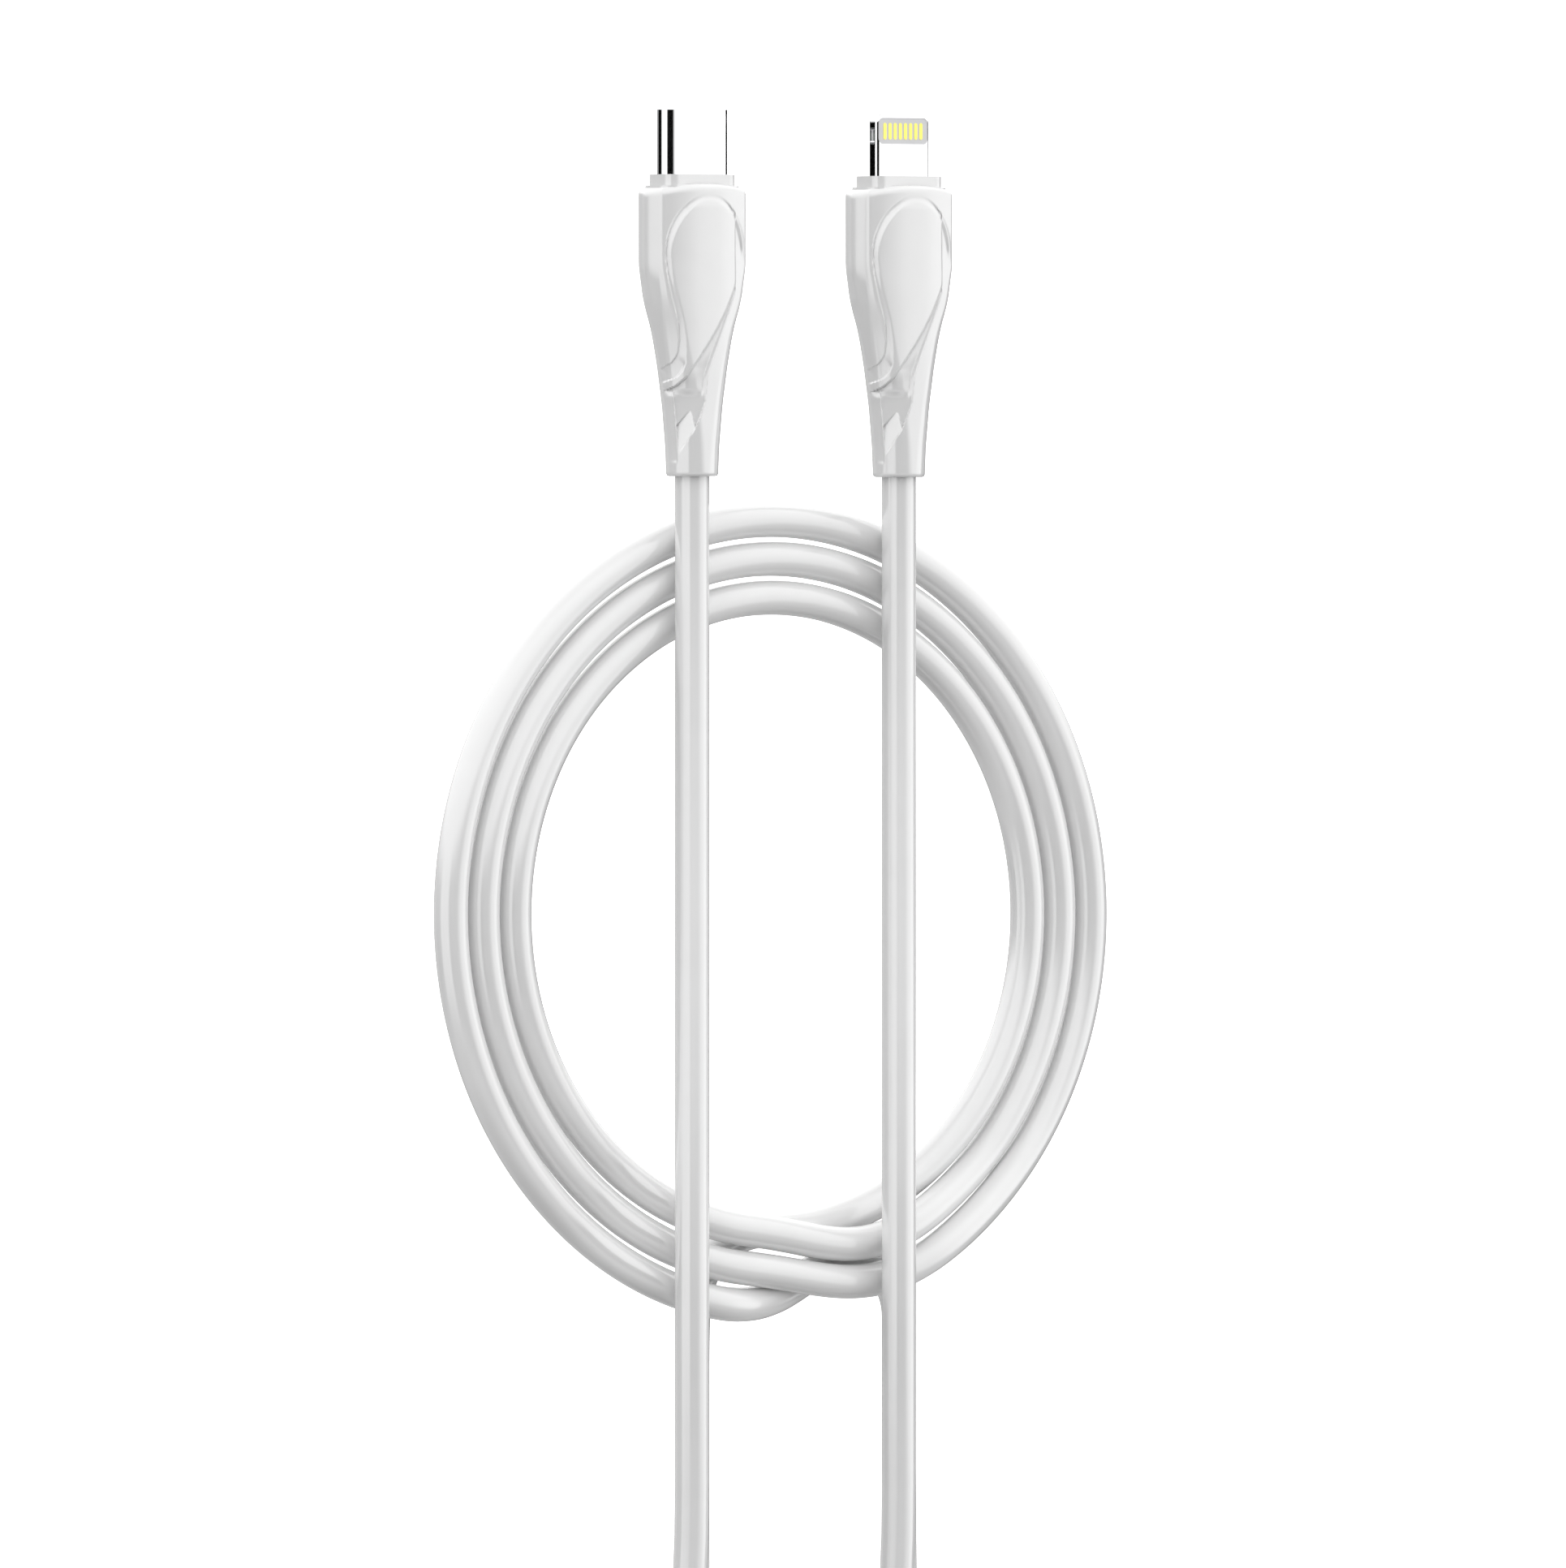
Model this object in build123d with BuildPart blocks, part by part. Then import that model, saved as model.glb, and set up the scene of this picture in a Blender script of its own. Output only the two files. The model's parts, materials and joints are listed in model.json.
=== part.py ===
"""Charging cable: an oval-shell plug and a flat eight-contact plug, each on a moulded grip, joined by one
thin round cord that lies in a flat coil of three turns.

Millimetres, +Z up, lying on z = 0. The origin is under the coil, at its edge nearest the plugs and midway
between the two cords. Both plugs point to +Y. Each plug is built on its own plane: x runs across the wide
face, y is its height, and z is the depth from the plug's tip back to the cord.
"""
from build123d import *
from math import pi, radians, tan
import os

os.makedirs("parts", exist_ok=True)

# ---- cord and coil -------------------------------------------------------------------------------
cord_radius = 1.75
cord_level = 1.76  # centre of a cord that lies on the surface
coil_x, coil_y = -0.4, -36.0  # centre of the coil
turn_radii = (32.2, 36.15, 40.1)  # the cord's centre line in each turn
coil_inside = turn_radii[0] - cord_radius
coil_outside = turn_radii[-1] + cord_radius
crossing_height = 7.0  # two cords deep, where the ends pass under the turns
tail_join = -43.0  # where the two tails of the coil end, from its centre

# Centre lines of the two stretches of cord that aren't coiled, from each grip round to the coil's tail,
# measured from the coil's centre.
oval_run = (
    (-12.57, 44.5, 5.35),
    (-12.57, 32.0, 5.35),
    (-15.38, -27.0, 9.25),
    (-15.38, -44.0, 9.25),
    (-12.46, -72.0, 5.2),
    (-14.15, -88.2, cord_level),
    (-5.2, -97.1, cord_level),
    (7.35, -97.1, cord_level),
    (16.25, -88.2, cord_level),
    (16.15, -72.0, cord_level),
    (15.97, -57.0, cord_level),
    (15.97, tail_join, cord_level),
)
tab_run = (
    (13.38, 44.5, 5.35),
    (13.38, 32.0, 5.35),
    (10.57, -27.0, 9.25),
    (10.57, -44.0, 9.25),
    (13.49, -72.0, 5.2),
    (12.2, -86.6, cord_level),
    (5.75, -93.1, cord_level),
    (-3.4, -93.1, cord_level),
    (-9.9, -86.6, cord_level),
    (-9.93, -72.0, cord_level),
    (-9.97, -57.0, cord_level),
    (-9.97, tail_join, cord_level),
)

# ---- plugs ---------------------------------------------------------------------------------------
plug_length = 37.3  # from the tip to the cord end of the grip
collar_front, grip_front = 6.65, 7.8  # depths at which the collar and the grip begin
collar_size = (8.7, 4.3, 1.2)  # width, height, corner radius
core_size, core_end = (9.8, 4.7, 1.5), 19.6  # the inner mould, hidden in the grip
grip_size = (11.9, 6.0, 1.6)
grip_shoulder = 16.4  # depth at which the grip starts to narrow
grip_neck = (  # depth, width, height, corner radius from the shoulder to the cord end
    (grip_shoulder, *grip_size),
    (19.3, 10.0, 5.9, 1.9),
    (22.4, 8.5, 5.8, 2.2),
    (26.0, 7.2, 5.7, 2.4),
    (30.1, 6.1, 5.5, 2.5),
    (34.2, 5.45, 5.35, 2.6),
    (plug_length, 5.3, 5.3, 2.6),
)

# Oval shell plug: 8.25 x 2.40 mm, the standard size of the reversible 24-contact plug.
shell_size, shell_wall, shell_end = (8.25, 2.40), 0.2, 10.5
liner_front, liner_end = 0.25, 9.5
mouth_size, mouth_end = (6.9, 1.0), 5.8
blade_count, blade_pitch, blade_width, blade_thick = 12, 0.5, 0.26, 0.12
blade_front, blade_end = 1.4, 11.0
latch_in, latch_out = 3.50, 3.70  # the sprung arm's two faces, from the plug's middle
latch_tip, latch_root, hook_reach = 1.3, 6.4, 3.20
latch_height = 0.44
latch_slot_height = 0.54

# Eight-contact plug: a 6.7 x 1.5 mm metal tab.
tab_size, tab_front, tab_end = (6.7, 1.5), 0.2, 10.5
tab_edge, tab_corner = 0.4, 1.0
flange_size = (7.6, 2.4)
window_size, window_front, window_corner = (6.17, 2.65), 0.72, 0.55
window_recess = 0.06
pad_count, pad_pitch, pad_width, pad_length, pad_front = 8, 0.645, 0.39, 1.69, 1.22
scoop_radius, scoop_depth, scoop_height, scoop_at = 1.0, 0.45, 0.74, 2.55

# What both plugs hold inside.
can_size, can_wall, can_front, can_end = (8.85, 3.2, 0.6), 0.2, 9.6, 18.2
ferrule_radius, ferrule_end = 2.05, 22.4
jacket_bore = 1.25
board_end, board_width = 16.5, 7.4
oval_board_thick, tab_board_thick = 0.76, 0.5
tab_board_width = 5.4
wire_radius, core_radius, wire_spread = 0.38, 0.18, 0.5
wire_front, solder_front = 16.9, 14.8


def save(part, name):
    """Labels a finished piece and writes it."""
    part.label = name
    export_step(part, f"parts/{name}.step")


def plug_plane(exit_point):
    """The plug's own plane at its tip, for a grip whose cord leaves at exit_point."""
    x, y, z = exit_point
    tip = (coil_x + x, coil_y + y + plug_length, z)
    return Plane(origin=tip, x_dir=(1, 0, 0), z_dir=(0, -1, 0))


def side_plane(plug, across=0.0):
    """Stands on edge along the plug: x is the depth from its tip and y its height."""
    return Plane(origin=plug.origin + plug.x_dir * across, x_dir=plug.z_dir, z_dir=-plug.x_dir)


def plan_plane(plug, height=0.0):
    """Lies flat along the plug: x is the depth from its tip and y runs across it."""
    return Plane(origin=plug.origin + plug.y_dir * height, x_dir=plug.z_dir, z_dir=plug.y_dir)


oval_plug = plug_plane(oval_run[0])
tab_plug = plug_plane(tab_run[0])


# ---- oval plug's nose ----------------------------------------------------------------------------
def spaced(count, pitch):
    """Places of a centred row."""
    return [(i - (count - 1) / 2) * pitch for i in range(count)]


with BuildPart() as shell:
    with BuildSketch(oval_plug):
        SlotOverall(*shell_size)
    extrude(amount=shell_end)
    rim = shell.faces().sort_by(Axis(oval_plug.origin, oval_plug.z_dir))[0].edges()
    fillet(rim, 0.08)
    with BuildSketch(oval_plug):
        SlotOverall(shell_size[0] - 2 * shell_wall, shell_size[1] - 2 * shell_wall)
    extrude(amount=shell_end, mode=Mode.SUBTRACT)
save(shell.part, "oval_shell")


def blades(side):
    """Twelve sprung contacts of one row; side is 1 for the upper and -1 for the lower."""
    seat = side * oval_board_thick / 2
    back = seat + side * blade_thick
    crown = seat - side * 0.1
    with BuildPart() as row:
        for across in spaced(blade_count, blade_pitch):
            with BuildSketch(side_plane(oval_plug, across)):
                with BuildLine():
                    Polyline(
                        (blade_front, seat),
                        (blade_front + 0.35, crown),
                        (blade_front + 0.75, crown),
                        (blade_front + 1.2, seat),
                        (blade_end, seat),
                        (blade_end, back),
                        (blade_front, back),
                        close=True,
                    )
                make_face()
            extrude(amount=blade_width / 2, both=True)
    return row.part


upper_blades, lower_blades = blades(1), blades(-1)
save(upper_blades, "oval_contacts_upper")
save(lower_blades, "oval_contacts_lower")

with BuildPart() as mid_plate:
    with BuildSketch(oval_plug.offset(6.95)):
        Rectangle(7.1, 0.16)
    extrude(amount=2.2)
save(mid_plate.part, "oval_mid_plate")

with BuildPart() as liner:
    with BuildSketch(oval_plug.offset(liner_front)):
        SlotOverall(shell_size[0] - 2 * shell_wall, shell_size[1] - 2 * shell_wall)
    extrude(amount=liner_end - liner_front)
    with BuildSketch(oval_plug.offset(liner_front)):
        Rectangle(*mouth_size)
    extrude(amount=mouth_end - liner_front, mode=Mode.SUBTRACT)
    with BuildSketch(oval_plug.offset(0.9)):
        for side in (-1, 1):
            with Locations((side * (3.35 + 0.4), 0)):
                Rectangle(0.8, latch_slot_height)
    extrude(amount=5.9, mode=Mode.SUBTRACT)
    add(upper_blades, mode=Mode.SUBTRACT)
    add(lower_blades, mode=Mode.SUBTRACT)
    add(mid_plate.part, mode=Mode.SUBTRACT)
save(liner.part, "oval_liner")


def ground_spring(side):
    """Thin shielding spring on one wall of the mouth, ahead of the contacts."""
    top, bottom = side * mouth_size[1] / 2, side * (mouth_size[1] / 2 - 0.1)
    with BuildPart() as spring:
        for across, width in ((0, 5.6), (-1.9, 0.5), (0, 0.5), (1.9, 0.5)):
            leaf = bottom if width > 1 else bottom - side * 0.08
            start = 0.45 if width > 1 else 0.7
            with BuildSketch(side_plane(oval_plug, across)):
                with BuildLine():
                    Polyline((start, top), (start, leaf), (1.1, leaf), (1.1, top), close=True)
                make_face()
            extrude(amount=width / 2, both=True)
    return spring.part


save(ground_spring(1), "oval_ground_spring_upper")
save(ground_spring(-1), "oval_ground_spring_lower")


def latch(side):
    """Sprung side arm with its hook, which bends about its root."""
    middle = (latch_in + latch_out) / 2
    with BuildPart() as arm:
        with BuildSketch(plan_plane(oval_plug)):
            with BuildLine():
                Polyline(
                    (latch_tip, side * latch_out),
                    (latch_tip, side * latch_in),
                    (latch_tip + 0.35, side * hook_reach),
                    (latch_tip + 0.6, side * hook_reach),
                    (latch_tip + 0.8, side * latch_in),
                    (latch_root, side * latch_in),
                    (latch_root, side * latch_out),
                    close=True,
                )
            make_face()
            with Locations((latch_root, side * middle)):
                Circle((latch_out - latch_in) / 2)
        extrude(amount=latch_height / 2, both=True)
    return arm.part


save(latch(-1), "oval_latch_left")
save(latch(1), "oval_latch_right")


# ---- flat plug's nose ----------------------------------------------------------------------------
with BuildPart() as tab:
    with BuildSketch(plan_plane(tab_plug)):
        with Locations(((tab_front + tab_end) / 2, 0)):
            Rectangle(tab_end - tab_front, tab_size[0])
    extrude(amount=tab_size[1] / 2, both=True)
    nose = tab.edges().filter_by(Axis(tab_plug.origin, tab_plug.y_dir))
    fillet(nose.sort_by(Axis(tab_plug.origin, tab_plug.z_dir))[:2], tab_corner)
    long_rims = tab.faces().filter_by(Axis(tab_plug.origin, tab_plug.y_dir)).edges()
    rear = long_rims.sort_by(Axis(tab_plug.origin, tab_plug.z_dir))[-2:]
    fillet([edge for edge in long_rims if edge not in rear], tab_edge)
    with BuildSketch(tab_plug.offset(grip_front)):
        RectangleRounded(*flange_size, 0.5)
    extrude(amount=tab_end - grip_front)
    with BuildSketch(plan_plane(tab_plug)):
        with Locations((window_front + window_size[1] / 2, 0)):
            RectangleRounded(window_size[1], window_size[0], window_corner)
    extrude(amount=tab_size[1], both=True, mode=Mode.SUBTRACT)
    with BuildSketch(tab_plug.offset(window_front + 1)):
        Rectangle(tab_board_width, tab_board_thick)
    extrude(amount=tab_end, mode=Mode.SUBTRACT)
    with BuildSketch(plan_plane(tab_plug)):
        for side in (-1, 1):
            with Locations((scoop_at, side * (tab_size[0] / 2 + scoop_radius - scoop_depth))):
                Circle(scoop_radius)
    extrude(amount=scoop_height / 2, both=True, mode=Mode.SUBTRACT)
save(tab.part, "tab_frame")


def pads(side):
    """Eight flat gold contacts on one face; side is 1 for the upper face and -1 for the lower."""
    with BuildPart() as row:
        with BuildSketch(plan_plane(tab_plug, side * tab_board_thick / 2)):
            for across in spaced(pad_count, pad_pitch):
                with Locations((pad_front + pad_length / 2, across)):
                    SlotOverall(pad_length, pad_width)
        extrude(amount=side * (tab_size[1] / 2 - 0.03 - tab_board_thick / 2))
    return row.part


def pad_insert(side, row):
    """Moulded insert that fills the window round the contacts of one face."""
    with BuildPart() as insert:
        with BuildSketch(plan_plane(tab_plug, side * tab_board_thick / 2)):
            with Locations((window_front + window_size[1] / 2, 0)):
                RectangleRounded(window_size[1], window_size[0], window_corner)
        extrude(amount=side * (tab_size[1] / 2 - window_recess - tab_board_thick / 2))
        add(row, mode=Mode.SUBTRACT)
    return insert.part


for side, word in ((1, "upper"), (-1, "lower")):
    row = pads(side)
    save(row, f"tab_contacts_{word}")
    save(pad_insert(side, row), f"tab_insert_{word}")


# ---- what both plugs share -----------------------------------------------------------------------
def board(plug, front, width, thick):
    """Small circuit board that carries the contacts at one end and the wires at the other."""
    with BuildPart() as card:
        with BuildSketch(plug.offset(front)):
            Rectangle(width, thick)
        extrude(amount=board_end - front)
    return card.part


def chips(plug, thick):
    """Controller and its small parts, soldered on the board's upper face."""
    with BuildPart() as group:
        for across, depth, width, length, height in (
            (-0.6, 11.9, 2.4, 2.2, 0.55),
            (1.5, 11.9, 0.5, 1.0, 0.4),
            (2.4, 11.9, 0.5, 1.0, 0.4),
            (1.5, 13.3, 0.5, 1.0, 0.4),
        ):
            with BuildSketch(plug.offset(depth)):
                with Locations((across, (thick + height) / 2)):
                    Rectangle(width, height)
            extrude(amount=length)
    return group.part


def shield_half(plug, side, neck):
    """Half of the folded sheet-metal can round the board, open where the nose and the wires pass."""
    width, height, corner = can_size
    with BuildPart() as half:
        with BuildSketch(plug.offset(can_front)):
            RectangleRounded(width, height, corner)
        extrude(amount=can_end - can_front)
        with BuildSketch(plug.offset(can_front + can_wall)):
            RectangleRounded(width - 2 * can_wall, height - 2 * can_wall, corner - can_wall)
        extrude(amount=can_end - can_front - 2 * can_wall, mode=Mode.SUBTRACT)
        with BuildSketch(plug.offset(can_front)):
            neck()
        extrude(amount=can_wall, mode=Mode.SUBTRACT)
        with BuildSketch(plug.offset(can_end - can_wall)):
            Circle(jacket_bore)
        extrude(amount=can_wall, mode=Mode.SUBTRACT)
        split(bisect_by=plan_plane(plug), keep=Keep.TOP if side > 0 else Keep.BOTTOM)
    return half.part


def ferrule(plug):
    """Crimped sleeve that holds the cord's jacket."""
    with BuildPart() as sleeve:
        with BuildSketch(plug.offset(can_end)):
            Circle(ferrule_radius)
            Circle(cord_radius, mode=Mode.SUBTRACT)
        extrude(amount=ferrule_end - can_end)
    return sleeve.part


def jacket_end(plug):
    """The last of the cord's jacket, inside the grip."""
    with BuildPart() as jacket:
        with BuildSketch(plug.offset(can_end)):
            Circle(cord_radius)
            Circle(jacket_bore, mode=Mode.SUBTRACT)
        extrude(amount=plug_length - can_end)
    return jacket.part


def wire(plug, across, side, thick):
    """Insulated wire from the cord, its bare end soldered to the board."""
    place = (across * wire_spread, side * (thick / 2 + core_radius))
    with BuildPart() as lead:
        with BuildSketch(plug.offset(wire_front)):
            with Locations(place):
                Circle(wire_radius)
        extrude(amount=plug_length - wire_front)
        with BuildSketch(plug.offset(solder_front)):
            with Locations(place):
                Circle(core_radius)
        extrude(amount=wire_front - solder_front)
    return lead.part


def inner_mould(plug, nose, neck):
    """Hard moulding round the can, whose front stands out of the grip as a collar."""
    with BuildPart() as mould:
        with BuildSketch(plug.offset(collar_front)):
            RectangleRounded(*collar_size)
        extrude(amount=grip_front - collar_front)
        with BuildSketch(plug.offset(grip_front)):
            RectangleRounded(*core_size)
        extrude(amount=core_end - grip_front)
        with BuildSketch(plug.offset(collar_front)):
            nose()
        extrude(amount=grip_front - collar_front, mode=Mode.SUBTRACT)
        with BuildSketch(plug.offset(grip_front)):
            neck()
        extrude(amount=can_front - grip_front, mode=Mode.SUBTRACT)
        with BuildSketch(plug.offset(can_front)):
            RectangleRounded(*can_size)
        extrude(amount=can_end - can_front, mode=Mode.SUBTRACT)
        with BuildSketch(plug.offset(can_end)):
            Circle(ferrule_radius)
        extrude(amount=core_end - can_end, mode=Mode.SUBTRACT)
    return mould.part


def grip(plug):
    """Soft outer moulding: the wide handle, and the neck that tapers to the cord as its strain relief."""
    with BuildPart() as cover:
        with BuildSketch(plug.offset(grip_front)):
            RectangleRounded(*grip_size)
        extrude(amount=grip_shoulder - grip_front)
        front = cover.faces().sort_by(Axis(plug.origin, plug.z_dir))[0]
        fillet(front.edges(), 0.6)
        for depth, width, height, corner in grip_neck:
            with BuildSketch(plug.offset(depth)):
                RectangleRounded(width, height, corner)
        loft()
        with BuildSketch(plug.offset(grip_front)):
            RectangleRounded(*core_size)
        extrude(amount=core_end - grip_front, mode=Mode.SUBTRACT)
        with BuildSketch(plug.offset(core_end)):
            Circle(ferrule_radius)
        extrude(amount=ferrule_end - core_end, mode=Mode.SUBTRACT)
        with BuildSketch(plug.offset(ferrule_end)):
            Circle(cord_radius)
        extrude(amount=plug_length - ferrule_end, mode=Mode.SUBTRACT)
    return cover.part


def oval_section():
    SlotOverall(*shell_size)


def tab_section():
    RectangleRounded(*tab_size, tab_edge)


def flange_section():
    RectangleRounded(*flange_size, 0.5)


def inside_pieces(prefix, plug, nose, neck, board_front, width, thick):
    """Writes the pieces that both plugs have, from the board back to the grip."""
    save(board(plug, board_front, width, thick), f"{prefix}_board")
    save(chips(plug, thick), f"{prefix}_chips")
    save(shield_half(plug, 1, neck), f"{prefix}_shield_upper")
    save(shield_half(plug, -1, neck), f"{prefix}_shield_lower")
    save(ferrule(plug), f"{prefix}_ferrule")
    save(jacket_end(plug), f"{prefix}_jacket_end")
    for word, across, side in (("power", -1, 1), ("ground", 1, 1), ("data_plus", -1, -1), ("data_minus", 1, -1)):
        save(wire(plug, across, side, thick), f"{prefix}_{word}_wire")
    save(inner_mould(plug, nose, neck), f"{prefix}_inner_mould")
    save(grip(plug), f"{prefix}_grip")


inside_pieces("oval", oval_plug, oval_section, oval_section, liner_end, board_width, oval_board_thick)
inside_pieces("tab", tab_plug, tab_section, flange_section, window_front + 0.05, tab_board_width, tab_board_thick)


# ---- cord ----------------------------------------------------------------------------------------
def run_radii(points):
    """The bend at each corner of a route: 0.45 of its shorter run, over the tangent of half the turn."""
    radii = []
    for before, corner, after in zip(points, points[1:], points[2:]):
        into, out = corner - before, after - corner
        half_turn = radians(into.get_angle(out)) / 2
        radii.append(0.45 * min(into.length, out.length) / tan(half_turn))
    return radii


def cord_run(route, name):
    """Round cord along one route."""
    points = [Vector(coil_x + x, coil_y + y, z) for x, y, z in route]
    radii = run_radii(points)
    print(name, "radii", [round(radius, 1) for radius in radii])
    with BuildPart() as run:
        with BuildLine() as path:
            FilletPolyline(*points, radius=radii)
        with BuildSketch(Plane(origin=path.line @ 0, z_dir=path.line % 0)):
            Circle(cord_radius)
        sweep()
    section = pi * cord_radius**2
    print(name, "length", round(path.wires()[0].length, 1), "volume / section", round(run.part.volume / section, 1))
    save(run.part, name)


cord_run(oval_run, "cord_run_oval")
cord_run(tab_run, "cord_run_tab")

with BuildPart() as coil:
    with BuildSketch(Plane((coil_x, coil_y, 0))):
        Circle(coil_outside)
        Circle(coil_inside, mode=Mode.SUBTRACT)
    extrude(amount=crossing_height)
    # Above one cord's depth, only the stretch that rides over the two tails stays.
    with BuildSketch(Plane(origin=(coil_x, coil_y, 0), x_dir=(1, 0, 0), z_dir=(0, -1, 0))):
        with BuildLine():
            Polyline(
                (-50, 2 * cord_radius),
                (-27, 2 * cord_radius),
                (-16, crossing_height),
                (17, crossing_height),
                (28, 2 * cord_radius),
                (50, 2 * cord_radius),
                (50, 10),
                (-50, 10),
                close=True,
            )
        make_face()
    extrude(amount=50, mode=Mode.SUBTRACT)
    with BuildSketch(Plane(origin=(coil_x, coil_y, 0), x_dir=(1, 0, 0), z_dir=(0, -1, 0))):
        with Locations((0, 2 * cord_radius + 5)):
            Rectangle(100, 10)
    extrude(amount=-50, mode=Mode.SUBTRACT)
    with BuildSketch(Plane(origin=(coil_x, coil_y - 36, 0), x_dir=(1, 0, 0), z_dir=(0, -1, 0))):
        with Locations((oval_run[-1][0], cord_level), (tab_run[-1][0], cord_level)):
            Circle(cord_radius)
    extrude(amount=-tail_join - 36)
save(coil.part, "cord_coil")
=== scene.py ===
"""Looks of the charging cable: the cord, the sculpted grips and the materials of every piece, built round
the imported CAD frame. The scene is in metres, in the frame's own axes. Sizes of the grips and the cord are
written in mm, and a size multiplied by MM is in metres."""

from math import cos, pi, radians, sin

import bpy
import numpy as np
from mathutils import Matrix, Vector
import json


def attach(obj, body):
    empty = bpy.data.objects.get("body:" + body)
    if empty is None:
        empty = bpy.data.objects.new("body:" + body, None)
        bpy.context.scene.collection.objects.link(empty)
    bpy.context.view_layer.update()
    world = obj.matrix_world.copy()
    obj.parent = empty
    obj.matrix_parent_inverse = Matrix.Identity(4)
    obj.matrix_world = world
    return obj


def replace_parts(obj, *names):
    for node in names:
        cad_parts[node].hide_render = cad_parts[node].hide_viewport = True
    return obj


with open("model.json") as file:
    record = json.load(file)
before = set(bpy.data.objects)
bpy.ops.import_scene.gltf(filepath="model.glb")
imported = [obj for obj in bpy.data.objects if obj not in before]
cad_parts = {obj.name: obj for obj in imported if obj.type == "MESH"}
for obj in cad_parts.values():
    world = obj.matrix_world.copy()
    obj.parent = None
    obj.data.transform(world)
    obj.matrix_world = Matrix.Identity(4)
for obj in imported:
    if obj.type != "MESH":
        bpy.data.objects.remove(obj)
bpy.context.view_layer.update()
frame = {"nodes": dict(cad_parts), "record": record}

MM = 0.001

# ---- driving dimensions, as in the CAD model -----------------------------------------------------
CORD_RADIUS = 1.75 * MM
CORD_LEVEL = 1.76  # centre of a cord that lies on the surface
COIL_CENTRE = (-0.4, -36.0)  # on the surface; the runs, the turns and the tails are measured from it
TURN_RADII = (32.2, 36.15, 40.1)
# The cord from each plug's grip, over the coil, round its loop and back under itself to the coil.
OVAL_RUN = (
    (-12.57, 44.5, 5.35),
    (-12.57, 32.0, 5.35),
    (-15.38, -27.0, 9.25),
    (-15.38, -44.0, 9.25),
    (-12.46, -72.0, 5.2),
    (-14.15, -88.2, CORD_LEVEL),
    (-5.2, -97.1, CORD_LEVEL),
    (7.35, -97.1, CORD_LEVEL),
    (16.25, -88.2, CORD_LEVEL),
    (16.15, -72.0, CORD_LEVEL),
    (15.97, -57.0, CORD_LEVEL),
    (15.97, -43.0, CORD_LEVEL),
)
TAB_RUN = (
    (13.38, 44.5, 5.35),
    (13.38, 32.0, 5.35),
    (10.57, -27.0, 9.25),
    (10.57, -44.0, 9.25),
    (13.49, -72.0, 5.2),
    (12.2, -86.6, CORD_LEVEL),
    (5.75, -93.1, CORD_LEVEL),
    (-3.4, -93.1, CORD_LEVEL),
    (-9.9, -86.6, CORD_LEVEL),
    (-9.93, -72.0, CORD_LEVEL),
    (-9.97, -57.0, CORD_LEVEL),
    (-9.97, -43.0, CORD_LEVEL),
)


# ---- camera --------------------------------------------------------------------------------------
VIEW_LEAN = radians(35.8)  # how far the camera leans from straight above towards -X
VIEW_DISTANCE = 5.0  # metres
VIEW_HEIGHT = 159.67 * MM  # what the picture shows from its lower to its upper edge
PICTURE_CENTRE = (1.14, 13.22)  # right of and above the coil's centre, in the picture
SENSOR = 36  # mm, the camera's default


def add_camera():
    camera = bpy.data.objects.new("camera", bpy.data.cameras.new("camera"))
    bpy.context.scene.collection.objects.link(camera)
    right = Vector((cos(VIEW_LEAN), 0, sin(VIEW_LEAN)))
    back = Vector((-sin(VIEW_LEAN), 0, cos(VIEW_LEAN)))
    target = Vector((COIL_CENTRE[0], COIL_CENTRE[1], CORD_LEVEL)) * MM
    target += (right * PICTURE_CENTRE[0] + Vector((0, PICTURE_CENTRE[1], 0))) * MM
    camera.location = target + back * VIEW_DISTANCE
    camera.rotation_euler = (0, -VIEW_LEAN, 0)
    camera.data.lens = SENSOR * VIEW_DISTANCE / VIEW_HEIGHT
    camera.data.clip_start = 0.1
    bpy.context.scene.camera = camera


add_camera()


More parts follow.
